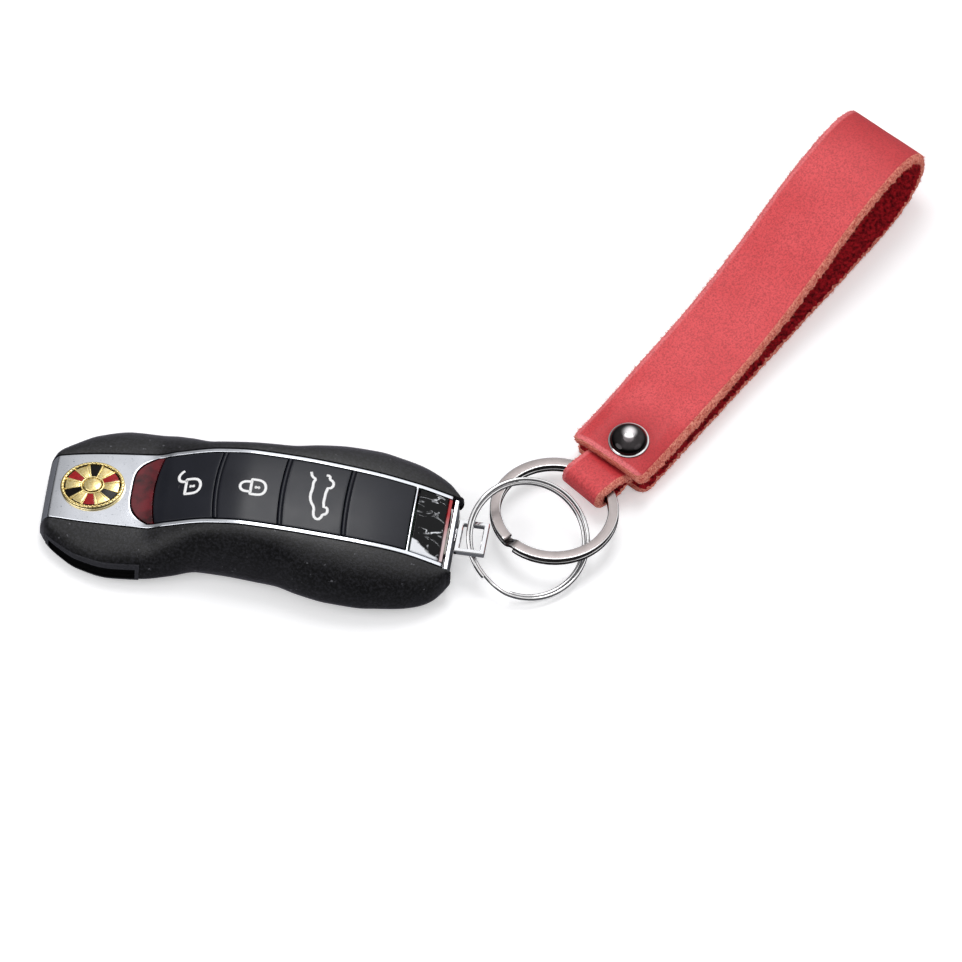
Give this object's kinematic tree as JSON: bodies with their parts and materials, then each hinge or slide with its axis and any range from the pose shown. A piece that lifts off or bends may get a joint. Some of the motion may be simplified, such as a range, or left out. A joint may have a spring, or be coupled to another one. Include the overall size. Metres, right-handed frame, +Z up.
{
  "type": "car key",
  "caption": "Car key fob in slide-off side covers, with press buttons and a pull-out emergency key, on a thin split ring, a flat ring and a riveted leather loop strap.",
  "frame": {"origin": "middle of the fob's back panel, on the plane that the fob and the strap rest on", "axes": "+X along the fob towards the emergency key and the rings, +Y to the fob's left seen from its badge end, +Z up through the button strip"},
  "size_m": [0.1887, 0.1434, 0.022],
  "materials": {
    "cover_plastic": "soft touch, fine grain",
    "button_plastic": "satin moulded",
    "gloss_plastic": "gloss",
    "inner_nylon": "glass filled, matt",
    "plated_plastic": "bright chrome plating on plastic",
    "chromed_zinc": "bright chrome plating",
    "nickel_wire": "bright nickel plating",
    "dark_nickel_wire": "dark nickel plating with pale faces",
    "key_steel": "milled",
    "gilt_metal": "polished",
    "enamel": "glassy",
    "red_acrylic": "clear red, glossy",
    "board_laminate": "solder mask",
    "chip_epoxy": "moulded",
    "crystal_can": "drawn can",
    "ferrite": "sintered",
    "switch_housing": "moulded",
    "cell_steel": "nickel plated can",
    "contact_bronze": "sheet",
    "red_leather": "grained outside, suede inside",
    "black_nickel": "black nickel plating"
  },
  "bodies": {
    "fob": {"chassis": "inner_nylon", "trim_frame": "plated_plastic", "badge_plate": "gilt_metal", "badge_inlay": "enamel", "window_lens": "red_acrylic", "pad_blank": "button_plastic", "rear_cap": "gloss_plastic", "tail_lens": "red_acrylic", "circuit_board": "board_laminate", "switch_unlock": "switch_housing", "switch_lock": "switch_housing", "switch_boot": "switch_housing", "controller_chip": "chip_epoxy", "crystal": "crystal_can", "transponder_chip": "chip_epoxy", "antenna_core": "ferrite", "coin_cell": "cell_steel", "battery_clip_plus": "contact_bronze", "battery_clip_minus": "contact_bronze", "catch_spring": "contact_bronze"},
    "unlock_button": {"button_unlock": "button_plastic"},
    "lock_button": {"button_lock": "button_plastic"},
    "boot_button": {"button_boot": "button_plastic"},
    "left_cover": {"cover_left": "cover_plastic"},
    "right_cover": {"cover_right": "cover_plastic"},
    "back_panel": {"back_cover": "cover_plastic"},
    "catch": {"release_catch": "cover_plastic"},
    "emergency_key": {"key_blade": "key_steel", "key_head": "plated_plastic", "lug": "chromed_zinc"},
    "thin_ring": {"split_ring": "nickel_wire"},
    "wide_ring": {"flat_ring": "dark_nickel_wire"},
    "hand_strap": {"strap": "red_leather", "ring_tongue": "red_leather", "rivet_cap": "black_nickel", "rivet_post": "black_nickel"}
  },
  "joints": [
    {"name": "press_unlock", "type": "slide", "parent": "fob", "child": "unlock_button", "axis": [0, 0, -1], "range_m": [0, 0.0006], "stiffness_N_per_m": 900},
    {"name": "press_lock", "type": "slide", "parent": "fob", "child": "lock_button", "axis": [0, 0, -1], "range_m": [0, 0.0006], "stiffness_N_per_m": 900},
    {"name": "press_boot", "type": "slide", "parent": "fob", "child": "boot_button", "axis": [0, 0, -1], "range_m": [0, 0.0006], "stiffness_N_per_m": 900},
    {"name": "slide_left_cover", "type": "slide", "parent": "fob", "child": "left_cover", "axis": [0, 1, 0], "range_m": [0, 0.012]},
    {"name": "slide_right_cover", "type": "slide", "parent": "fob", "child": "right_cover", "axis": [0, -1, 0], "range_m": [0, 0.012]},
    {"name": "lift_off_back", "type": "slide", "parent": "fob", "child": "back_panel", "axis": [0, 0, -1], "range_m": [0, 0.012]},
    {"name": "press_catch", "type": "slide", "parent": "fob", "child": "catch", "axis": [-1, 0, 0], "range_m": [0, 0.001], "stiffness_N_per_m": 400},
    {"name": "draw_key", "type": "slide", "parent": "fob", "child": "emergency_key", "axis": [1, 0, 0], "range_m": [0, 0.045]},
    {"name": "swing_rings", "type": "hinge", "parent": "emergency_key", "child": "thin_ring", "pos_m": [0.05167, -0.00043, 0.00899], "axis": [0.166, -0.9159, -0.3655], "range_deg": [0, 60]},
    {"name": "turn_wide_ring", "type": "hinge", "parent": "thin_ring", "child": "wide_ring", "pos_m": [0.06971, 0.01204, 0.00565], "axis": [0, 0.0995, 0.995], "range_deg": [-20, 20]},
    {"name": "lift_strap", "type": "hinge", "parent": "wide_ring", "child": "hand_strap", "pos_m": [0.078, 0.02301, 0.00455], "axis": [0.7961, -0.6021, 0.0602], "range_deg": [0, 5]}
  ]
}
